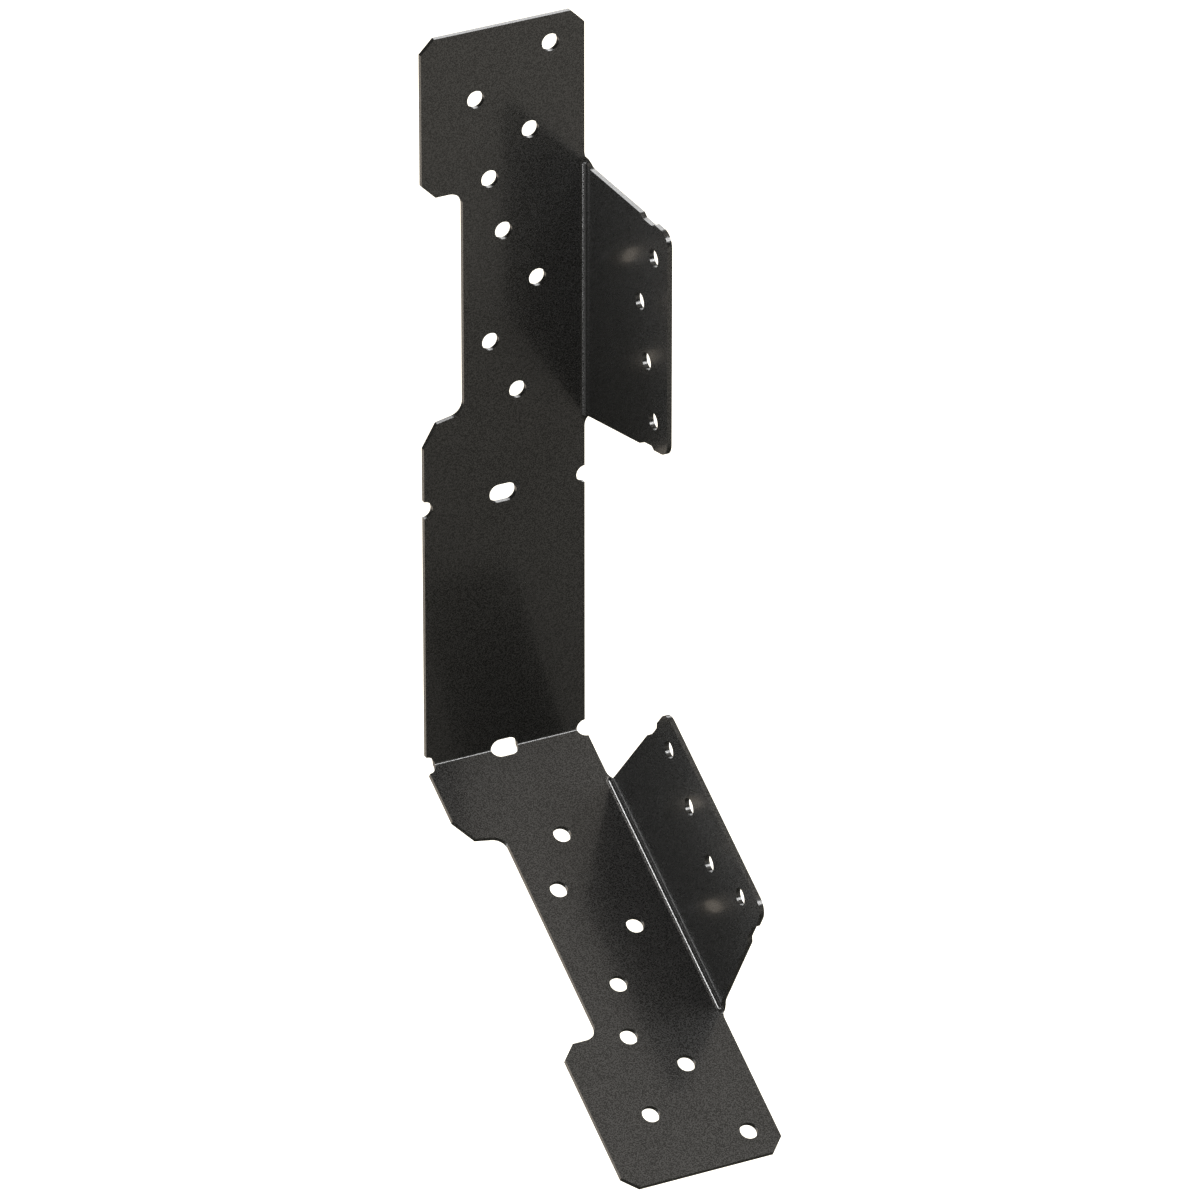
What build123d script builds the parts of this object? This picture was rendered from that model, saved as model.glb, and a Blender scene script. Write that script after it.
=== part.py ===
from build123d import *
import math
import os

# Adjustable stringer connector: one blank of coated sheet steel, cut, punched and folded.
# Its two wings have the same outline. The upper one, the head, stays in line with the plain middle
# panel, and the lower one, the leg, is folded forward along the lower of the two fold lines.
# Millimetres. +X runs from the recessed edge to the flanged edge, +Z up the upright, and the upright's
# front face looks along -Y. The origin is the centre of the middle panel's back face, which lies
# against the joist.

# Blank
INCH = 25.4
SHEET = 1.12                        # thickness of the sheet, 18 gauge with its coating
NEUTRAL = 0.44                      # share of the sheet from a fold's inside face to its neutral line
STRAP_WIDTH = 1.5 * INCH
WING_LENGTH = 4.3125 * INCH         # fold line to the end of the head or the leg
END_CHAMFER = 0.125 * INCH
CORNER_RADIUS = 0.125 * INCH        # inner corners of the recess, flange rims and flange roots

# Folds of the strap
FOLD_PITCH = 61.7                   # between the two fold lines, measured on the front face
FOLD_ANGLE = 59.6                   # how far the leg is folded forward from straight
FOLD_RADIUS = 0.6                   # inside radius of that fold
SLOT_LENGTH = 6.4
SLOT_WIDTH = 4.2
SLOT_SHIFT = 0.4                    # the fold-line slots sit this far towards the recessed edge

# Recess in the plain edge of each wing
SHOULDER = 2.875 * INCH             # fold line to the recess top and to the flange's far edge
RECESS_DEPTH = 0.375 * INCH
SHOULDER_CHAMFER = 0.125 * INCH
SPLAY = 10.7                        # slope of the recess foot and of the flange's near edge, degrees
RECESS_FOOT = 21.1                  # fold line to the inner end of the recess foot
CHEEK_WIDTH = 0.125 * INCH          # the steep cut below the recess foot
CHEEK_DROP = 5.4

# Side flange of each wing
BEND_RADIUS = 1.1                   # inside radius of the flange's bend
FLANGE_REACH = 1.5 * INCH           # front face of the strap to the rim of the flange
FLANGE_ROOT = 14.1                  # fold line to the near edge, where it meets the strap's edge
STEP_DEPTH = 0.8                    # shallow steps in both slanting and square flange edges
STEP_FAR = (12.5, 11.4, 7.3, 6.0)   # far-edge step: mouth, floor, floor, mouth, measured from the rim
STEP_NEAR = (12.6, 10.2, 7.1, 6.0)  # near-edge step, the same way
STEP_EASE = 0.5                     # rounding where the near-edge step's walls meet its floor
RUNOUT_SPANS = 6                    # spans in which the bend flattens out at each end of the root
RUNOUT_EASE = 3                     # power of the curl's fall to nothing over those spans

# Nail holes, placed on a grid of sixteenths of an inch
NAIL_HOLE = 5 / 32 * INCH
GRID = INCH / 16
# Across from the strap's centre line, and back from the wing's end
HEAD_NAILS = [(2, 54), (-2, 46), (5, 38), (0, 30), (-2, 22), (4, 16), (-4, 10), (7, 4)]
LEG_NAILS = [(2, 54), (-2, 46), (6, 38), (0, 30), (-2, 22), (4, 16), (-4, 10), (8, 4)]
# In from the flange's rim, and back from its far edge
FLANGE_NAILS = [(4, 29), (6, 21), (8, 13), (4, 5)]

# Worked out from the sizes above. A wing has x across, y along it from its fold line and z to the front.
LEFT = -STRAP_WIDTH / 2
RIGHT = STRAP_WIDTH / 2
HALF_FOLD = math.radians(FOLD_ANGLE / 2)
SETBACK = FOLD_RADIUS * math.tan(HALF_FOLD)
BEND_LENGTH = (BEND_RADIUS + NEUTRAL * SHEET) * math.pi / 2
BEND_END = BEND_LENGTH - BEND_RADIUS    # flat distance past the strap's edge where the bend is complete
LEAD = BEND_END - BEND_RADIUS           # flat distance past the strap's edge, less height on the flange
SPLAY_RISE = math.tan(math.radians(SPLAY))
PUNCH = 6 * SHEET                       # reach of a cutter to each side of the front face


class Root:
    """Rounded inner corner of the flat blank, between the strap's edge and one edge of the flange."""

    def __init__(self, edge_along, splay, toward):
        slope = math.radians(splay)
        self.toward = toward
        # Where the rounding ends, along the strap's edge and out along the flange's edge
        self.end = edge_along + CORNER_RADIUS * (math.tan(slope) - toward / math.cos(slope))
        self.out_end = CORNER_RADIUS * (1 - toward * math.sin(slope))
        # Where the rounding crosses the line at which the bend is complete
        self.full = self.along(BEND_END)

    def along(self, out):
        """Place of the rounded edge along the wing, at a flat distance out from the strap's edge."""
        return self.end + self.toward * math.sqrt(CORNER_RADIUS**2 - (CORNER_RADIUS - out) ** 2)

    def out(self, along):
        """The same edge, as a flat distance out from the strap's edge."""
        return CORNER_RADIUS - math.sqrt(CORNER_RADIUS**2 - (along - self.end) ** 2)


NEAR_ROOT = Root(FLANGE_ROOT, SPLAY, 1)
FAR_ROOT = Root(SHOULDER, 0, -1)


def corners_at(shape, places):
    """The shape's vertices that lie at the given places."""
    return [v for v in shape.vertices() if any((Vector(v.X, v.Y) - Vector(*p)).length < 0.01 for p in places)]


def strap_face(start):
    """Flat outline of a wing's strap from the given place along it, with the flange's bend left out."""
    inside = LEFT + RECESS_DEPTH
    bend_line = RIGHT - BEND_RADIUS
    cheek_top = RECESS_FOOT - (RECESS_DEPTH - CHEEK_WIDTH) * SPLAY_RISE
    outline = Polyline(
        (RIGHT, start),
        (RIGHT, NEAR_ROOT.end),
        (bend_line, NEAR_ROOT.end),
        (bend_line, FAR_ROOT.end),
        (RIGHT, FAR_ROOT.end),
        (RIGHT, WING_LENGTH - END_CHAMFER),
        (RIGHT - END_CHAMFER, WING_LENGTH),
        (LEFT + END_CHAMFER, WING_LENGTH),
        (LEFT, WING_LENGTH - END_CHAMFER),
        (LEFT, SHOULDER + SHOULDER_CHAMFER),
        (LEFT + SHOULDER_CHAMFER, SHOULDER),
        (inside, SHOULDER),
        (inside, RECESS_FOOT),
        (LEFT + CHEEK_WIDTH, cheek_top),
        (LEFT, cheek_top - CHEEK_DROP),
        (LEFT, start),
        close=True,
    )
    face = make_face(outline)
    return fillet(corners_at(face, [(inside, SHOULDER), (inside, RECESS_FOOT)]), CORNER_RADIUS)


def half_fold():
    """The strap's fold from its middle plane to where the flat sheet starts, at the fold line y = 0."""
    outside = FOLD_RADIUS + SHEET
    arcs = [
        CenterArc((SETBACK, FOLD_RADIUS), radius, -90 - FOLD_ANGLE / 2, FOLD_ANGLE / 2)
        for radius in (FOLD_RADIUS, outside)
    ]
    ends = [Line(arcs[0] @ k, arcs[1] @ k) for k in (0, 1)]
    section = make_face(Curve() + arcs + ends)
    side = Plane(origin=(LEFT, 0, 0), x_dir=(0, 1, 0), z_dir=(1, 0, 0))
    return extrude(side * section, STRAP_WIDTH)


def bend_section(along, out, curl):
    """Section of the flange's bend: curl is 1 where it is a full bend and 0 where the sheet is flat."""
    start = RIGHT - BEND_RADIUS
    plane = Plane(origin=(start, along, 0), x_dir=(1, 0, 0), z_dir=(0, -1, 0))
    if curl == 0:
        return plane * make_face(Polyline((0, 0), (BEND_RADIUS + out, 0), (BEND_RADIUS + out, -SHEET),
                                          (0, -SHEET), close=True))
    neutral = (BEND_RADIUS + NEUTRAL * SHEET) / curl
    front = neutral - NEUTRAL * SHEET
    turn = (BEND_RADIUS + out) / neutral

    def at(radius, angle):
        return (radius * math.sin(angle), front - radius * math.cos(angle))

    faces = [ThreePointArc(at(r, 0), at(r, turn / 2), at(r, turn)) for r in (front, front + SHEET)]
    ends = [Line(faces[0] @ k, faces[1] @ k) for k in (0, 1)]
    return plane * make_face(Curve() + faces + ends)


def runout(root):
    """End of the flange's bend, where it flattens out into the strap along the rounded root."""
    sections = []
    for i in range(RUNOUT_SPANS + 1):
        share = i / RUNOUT_SPANS
        along = root.full + share * (root.end - root.full)
        sections.append(bend_section(along, root.out(along), (1 - share) ** RUNOUT_EASE))
    return loft(sections, ruled=True)


def flange():
    """Flat of the side flange, from the end of its bend to the rim, with stepped edges."""
    def near(height):
        return FLANGE_ROOT + (height + LEAD) * SPLAY_RISE

    def root_arc(root):
        outs = (BEND_END, (BEND_END + root.out_end) / 2, root.out_end)
        return ThreePointArc(*[(out - LEAD, root.along(out)) for out in outs])

    depths = (0, STEP_DEPTH, STEP_DEPTH, 0)
    near_step = [(FLANGE_REACH - s, near(FLANGE_REACH - s) + d) for s, d in zip(STEP_NEAR, depths)]
    far_step = [(FLANGE_REACH - s, SHOULDER - d) for s, d in zip(STEP_FAR, depths)]
    near_arc = root_arc(NEAR_ROOT)
    far_arc = root_arc(FAR_ROOT)
    rim = [(FLANGE_REACH, near(FLANGE_REACH)), (FLANGE_REACH, SHOULDER)]
    edges = Polyline(near_arc @ 1, *near_step, *rim, *reversed(far_step), far_arc @ 1)
    face = make_face(Curve() + [near_arc, edges, far_arc, Line(far_arc @ 0, near_arc @ 0)])
    face = fillet(corners_at(face, rim), CORNER_RADIUS)
    face = fillet(corners_at(face, near_step[1:3]), STEP_EASE)
    plane = Plane(origin=(RIGHT + SHEET, 0, 0), x_dir=(0, 0, 1), z_dir=(-1, 0, 0))
    return extrude(plane * face, SHEET)


def flange_bend():
    """Full bend between strap and flange, with its run-outs."""
    full = bend_section(NEAR_ROOT.full, BEND_END, 1)
    length = FAR_ROOT.full - NEAR_ROOT.full
    return extrude(full, length, dir=(0, 1, 0)) + [runout(NEAR_ROOT), runout(FAR_ROOT)]


def punched(face):
    """Cutter through the strap, from an outline on its front face."""
    return extrude(face, PUNCH, both=True)


def fold_line_cuts(along):
    """Slot and two edge notches that mark one fold line and weaken it."""
    slot = Pos(-SLOT_SHIFT, along) * SlotOverall(SLOT_LENGTH, SLOT_WIDTH)
    notches = [Pos(x, along) * Circle(NAIL_HOLE / 2) for x in (LEFT, RIGHT)]
    return [punched(face) for face in [slot] + notches]


def wing(nails, reach_back):
    """One wing with its flange, and the flat sheet that reaches back from its fold line to the used fold."""
    body = extrude(strap_face(SETBACK - reach_back), -SHEET)
    body += Pos(0, -reach_back, 0) * half_fold()
    body += [flange_bend(), flange()]
    holes = [punched(Pos(GRID * x, WING_LENGTH - GRID * y) * Circle(NAIL_HOLE / 2)) for x, y in nails]
    side = Plane(origin=(RIGHT, 0, 0), x_dir=(0, 0, 1), z_dir=(-1, 0, 0))
    for inset, back in FLANGE_NAILS:
        spot = Pos(FLANGE_REACH - GRID * inset, SHOULDER - GRID * back) * Circle(NAIL_HOLE / 2)
        holes.append(extrude(side * spot, 2 * SHEET, both=True))
    for along in {0, -reach_back}:
        holes += fold_line_cuts(along)
    return body - holes


def connector():
    """Head and middle panel upright, leg folded forward, as one solid."""
    upright_plane = Plane(origin=(0, -SHEET, FOLD_PITCH / 2), x_dir=(1, 0, 0), z_dir=(0, -1, 0))
    turn = math.radians(FOLD_ANGLE)
    leg_back = (0, math.cos(turn), -math.sin(turn))
    leg_plane = Plane(origin=(0, -SHEET, -FOLD_PITCH / 2), x_dir=(1, 0, 0), z_dir=leg_back)
    upright = upright_plane.location * wing(HEAD_NAILS, FOLD_PITCH)
    leg = leg_plane.location * mirror(wing(LEG_NAILS, 0), about=Plane.XY)
    return (upright + leg).clean()


def main():
    os.makedirs("parts", exist_ok=True)
    part = connector()
    part.label = "stringer_connector"
    export_step(part, "parts/stringer_connector.step")
    print("solids", len(part.solids()), "volume", round(part.volume, 1), "box", part.bounding_box())


main()
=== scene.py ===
import bpy
import math
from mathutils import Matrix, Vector


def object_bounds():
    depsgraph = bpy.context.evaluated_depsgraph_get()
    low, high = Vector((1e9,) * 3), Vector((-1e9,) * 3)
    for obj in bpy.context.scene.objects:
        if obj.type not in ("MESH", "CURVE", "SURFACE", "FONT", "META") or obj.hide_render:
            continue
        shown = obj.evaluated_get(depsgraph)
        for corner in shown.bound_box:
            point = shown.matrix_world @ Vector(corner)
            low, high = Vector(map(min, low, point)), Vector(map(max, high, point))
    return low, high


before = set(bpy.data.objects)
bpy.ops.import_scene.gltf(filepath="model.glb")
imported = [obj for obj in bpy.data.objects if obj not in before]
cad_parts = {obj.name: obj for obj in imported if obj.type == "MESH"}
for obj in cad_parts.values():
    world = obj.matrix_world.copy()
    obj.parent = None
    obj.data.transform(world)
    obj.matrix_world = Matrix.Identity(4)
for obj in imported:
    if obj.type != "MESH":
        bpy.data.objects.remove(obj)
cad_box = [list(corner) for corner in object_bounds()]

MM = 0.001
scene = bpy.context.scene
scene.view_settings.view_transform = "Standard"

# Camera: looks at the connector from its front left, from well above and from far off
CAMERA_AIM = (0.0193, -0.0078, 0.0034)
CAMERA_AZIMUTH = 27.0
CAMERA_ELEVATION = 28.0
CAMERA_DISTANCE = 2.48
CAMERA_LENS = 348.0
CAMERA_SENSOR = 36.0
CAMERA_CLIP = (0.1, 50.0)


def direction(azimuth, elevation):
    """Unit vector from the connector, azimuth 0 along +Y and turning towards +X, in degrees."""
    a, e = math.radians(azimuth), math.radians(elevation)
    return Vector((math.sin(a) * math.cos(e), math.cos(a) * math.cos(e), math.sin(e)))


def linear(hex_colour):
    """An sRGB hex colour as linear red, green, blue and alpha, by the curve of that standard."""
    values = [int(hex_colour[i:i + 2], 16) / 255 for i in (1, 3, 5)]
    return [v / 12.92 if v <= 0.04045 else ((v + 0.055) / 1.055) ** 2.4 for v in values] + [1.0]


def add_node(tree, kind, settings=None, values=None, links=None):
    """Adds a node, with its own settings, its sockets' values and the outputs that feed them."""
    node = tree.nodes.new(kind)
    for name, value in (settings or {}).items():
        setattr(node, name, value)
    for name, value in (values or {}).items():
        node.inputs[name].default_value = value
    for name, output in (links or {}).items():
        tree.links.new(output, node.inputs[name])
    return node


def new_material(name):
    """An empty material and its node tree."""
    material = bpy.data.materials.new(name)
    material.use_nodes = True
    material.node_tree.nodes.clear()
    return material, material.node_tree


# Black polyester powder coat on galvanised steel, sprayed and baked: a satin black with a fine
# orange-peel grain. Its crests shine more than its pits, which shows as grey and darker specks.
# The real grain is finer than a pixel of the render, which is 0.2 to 0.25 mm here, so it is drawn
# coarser, at about one pixel, to show. Widths and depths are in mm.
COAT_PIT = "#0d0d0c"
COAT_CREST = "#181817"
COAT_ROUGHNESS = (0.27, 0.29)   # in a pit and on a crest
COAT_SHINE = (0.27, 0.73)       # specular level in a pit and on a crest
COAT_IOR = 1.5
SKIN_WEIGHT = 0.5               # the clear resin that rises to the top as the coat is baked
SKIN_ROUGHNESS = 0.12
GRAIN_WIDTH = 0.28              # from crest to crest
GRAIN_DEPTH = 0.006
GRAIN_STRENGTH = 0.5
GRAIN_SPAN = (0.38, 0.62)       # the noise's value in a pit and on a crest
GRAIN_TURN = (0.6, 0.5, 0.4)    # radians about X, Y and Z
SWELL_WIDTH = 3.0               # low waves under the grain
SWELL_DEPTH = 0.03
SWELL_STRENGTH = 0.3


def black_powder_coat():
    material, tree = new_material("black_powder_coat")
    own_space = add_node(tree, "ShaderNodeTexCoord").outputs["Object"]
    # Turned, so that no flat face lies in a plane of the noise's own grid, where it would vanish
    place = add_node(tree, "ShaderNodeMapping", values={"Rotation": GRAIN_TURN},
                     links={"Vector": own_space}).outputs["Vector"]
    grain = add_node(tree, "ShaderNodeTexNoise",
                     values={"Scale": 1 / (GRAIN_WIDTH * MM), "Detail": 0.0},
                     links={"Vector": place}).outputs["Fac"]
    swell = add_node(tree, "ShaderNodeTexNoise",
                     values={"Scale": 1 / (SWELL_WIDTH * MM), "Detail": 1.0},
                     links={"Vector": place}).outputs["Fac"]
    crest = add_node(tree, "ShaderNodeMapRange",
                     values={"From Min": GRAIN_SPAN[0], "From Max": GRAIN_SPAN[1]},
                     links={"Value": grain}).outputs["Result"]
    tint = add_node(tree, "ShaderNodeMix", settings={"data_type": "RGBA"},
                    values={"A": linear(COAT_PIT), "B": linear(COAT_CREST)},
                    links={"Factor": crest}).outputs["Result"]
    gloss = add_node(tree, "ShaderNodeMapRange",
                     values={"To Min": COAT_ROUGHNESS[0], "To Max": COAT_ROUGHNESS[1]},
                     links={"Value": crest}).outputs["Result"]
    shine = add_node(tree, "ShaderNodeMapRange",
                     values={"To Min": COAT_SHINE[0], "To Max": COAT_SHINE[1]},
                     links={"Value": crest}).outputs["Result"]
    waves = add_node(tree, "ShaderNodeBump",
                     values={"Strength": SWELL_STRENGTH, "Distance": SWELL_DEPTH * MM},
                     links={"Height": swell}).outputs["Normal"]
    relief = add_node(tree, "ShaderNodeBump",
                      values={"Strength": GRAIN_STRENGTH, "Distance": GRAIN_DEPTH * MM},
                      links={"Height": grain, "Normal": waves}).outputs["Normal"]
    coat = add_node(tree, "ShaderNodeBsdfPrincipled",
                    values={"IOR": COAT_IOR, "Coat Weight": SKIN_WEIGHT,
                            "Coat Roughness": SKIN_ROUGHNESS},
                    links={"Base Color": tint, "Roughness": gloss,
                           "Specular IOR Level": shine, "Normal": relief})
    add_node(tree, "ShaderNodeOutputMaterial", links={"Surface": coat.outputs["BSDF"]})
    return material


def dress_connector():
    """Gives the folded sheet its finish."""
    coat = black_powder_coat()
    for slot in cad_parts["stringer_connector"].material_slots:
        slot.material = coat


# White acrylic of a light table, lit from below: an even, pale floor with no shadow on it
TABLE_WHITE = "#bcbcba"
TABLE_ROUGHNESS = 0.9
TABLE_GLOW = "#fff8e8"
TABLE_STRENGTH = 1.30
TABLE_DROP = 0.45               # this far under the connector, which hangs as if nailed up
TABLE_REACH = 9.0               # to each side


def light_table_acrylic():
    material, tree = new_material("light_table_acrylic")
    board = add_node(tree, "ShaderNodeBsdfPrincipled",
                     values={"Base Color": linear(TABLE_WHITE), "Roughness": TABLE_ROUGHNESS,
                             "Specular IOR Level": 0.0, "Emission Color": linear(TABLE_GLOW),
                             "Emission Strength": TABLE_STRENGTH})
    add_node(tree, "ShaderNodeOutputMaterial", links={"Surface": board.outputs["BSDF"]})
    return material


def make_floor():
    level = cad_box[0][2] - TABLE_DROP
    mesh = bpy.data.meshes.new("floor")
    corners = [(x * TABLE_REACH, y * TABLE_REACH, level)
               for x, y in ((-1, -1), (1, -1), (1, 1), (-1, 1))]
    mesh.from_pydata(corners, [], [(0, 1, 2, 3)])
    mesh.materials.append(light_table_acrylic())
    floor = bpy.data.objects.new("floor", mesh)
    scene.collection.objects.link(floor)
    # The coat's gloss shows the soft boxes alone: the bright table greyed each face that looks down
    floor.visible_glossy = False


# The room's own faint light
ROOM_COLOUR = "#fffaf0"
ROOM_STRENGTH = 0.07

# The soft boxes' colours
WHITE = "#ffffff"
OFF_WHITE = "#fffaf4"
CREAM = "#fff8ee"
AMBER = "#fff0de"

# Name, azimuth, elevation, distance, (width, height), radiance and colour, in degrees and metres
SOFT_BOXES = (
    # High on the left: draws the line along the lower flange's bend, and greys that flange
    ("left_key", -84, 47, 1.6, (0.42, 0.38), 29.0, WHITE),
    # From the front left: a low, even grey on every face that the camera sees
    ("front_left", -125, 25, 1.6, (0.7, 0.6), 5.0, WHITE),
    # From the front right: draws the line in the strap's fold, and greys the leg and both panels
    ("front_right", 142, 44, 1.6, (0.7, 0.6), 13.5, WHITE),
    # Low in front and on the left, near by: draw the line along the upper flange's bend, brightest
    # at its top, and grey the faces on both sides of it
    ("low_front", -141, -10, 0.47, (0.10, 0.08), 21.0, WHITE),
    ("low_left", -97, -15, 0.466, (0.28, 0.16), 0.9, WHITE),
    ("flange_fill", -155, -17, 0.47, (0.20, 0.14), 0.1, WHITE),
    # Low on the left, from behind: lightens both flanges towards their rims
    ("flange_rim", -60, -30, 1.0, (0.5, 0.4), 3.5, WHITE),
    # Behind and above: lights every cut edge that faces up
    ("back", 27, 28, 1.6, (1.0, 0.7), 3.6, WHITE),
    # Behind and below: seen in the flanges through the strap's holes, and in the cut edges on the
    # left
    ("low_back_left", -27, -27, 0.9, (0.5, 0.4), 0.90, AMBER),
    # In front on the right, near by: grey the head, and below it the middle panel, which fades
    ("head_panel", 153, -4.0, 0.42, (0.5, 0.20), 0.57, CREAM),
    ("head_low", 153, -25.5, 0.42, (0.5, 0.11), 0.22, CREAM),
    # For the faces that this camera doesn't see: the backs of strap and leg, the flanges' outsides
    ("behind", 3, -12, 1.6, (1.5, 0.8), 0.45, WHITE),
    ("right_side", 96, -10, 1.6, (1.3, 0.8), 0.45, WHITE),
    # Overhead: grey the leg, which faces up, and the lower flange a little
    ("overhead", 94, 67, 1.6, (0.9, 0.9), 0.64, CREAM),
    ("top", -10, 85, 1.6, (0.5, 0.5), 10.0, OFF_WHITE),
)


def softbox(name, azimuth, elevation, distance, size, radiance, colour):
    """A rectangular soft light, turned to the connector. Blender takes its power, not radiance."""
    width, height = size
    data = bpy.data.lights.new(name, "AREA")
    data.shape = "RECTANGLE"
    data.size, data.size_y = width, height
    data.energy = radiance * math.pi * width * height
    data.color = linear(colour)[:3]
    light = bpy.data.objects.new(name, data)
    towards = direction(azimuth, elevation)
    light.location = towards * distance
    light.rotation_mode = "QUATERNION"
    light.rotation_quaternion = towards.to_track_quat("Z", "Y")
    light.visible_camera = False
    scene.collection.objects.link(light)


def make_light():
    world = bpy.data.worlds.new("studio")
    world.use_nodes = True
    background = world.node_tree.nodes["Background"]
    background.inputs["Color"].default_value = linear(ROOM_COLOUR)
    background.inputs["Strength"].default_value = ROOM_STRENGTH
    scene.world = world
    for soft_box in SOFT_BOXES:
        softbox(*soft_box)


def make_camera():
    data = bpy.data.cameras.new("camera")
    data.sensor_width = CAMERA_SENSOR
    data.lens = CAMERA_LENS
    data.clip_start, data.clip_end = CAMERA_CLIP
    camera = bpy.data.objects.new("camera", data)
    towards = direction(CAMERA_AZIMUTH, -CAMERA_ELEVATION)
    camera.location = Vector(CAMERA_AIM) - towards * CAMERA_DISTANCE
    camera.rotation_mode = "QUATERNION"
    camera.rotation_quaternion = towards.to_track_quat("-Z", "Y")
    scene.collection.objects.link(camera)
    scene.camera = camera


dress_connector()
make_floor()
make_light()
make_camera()
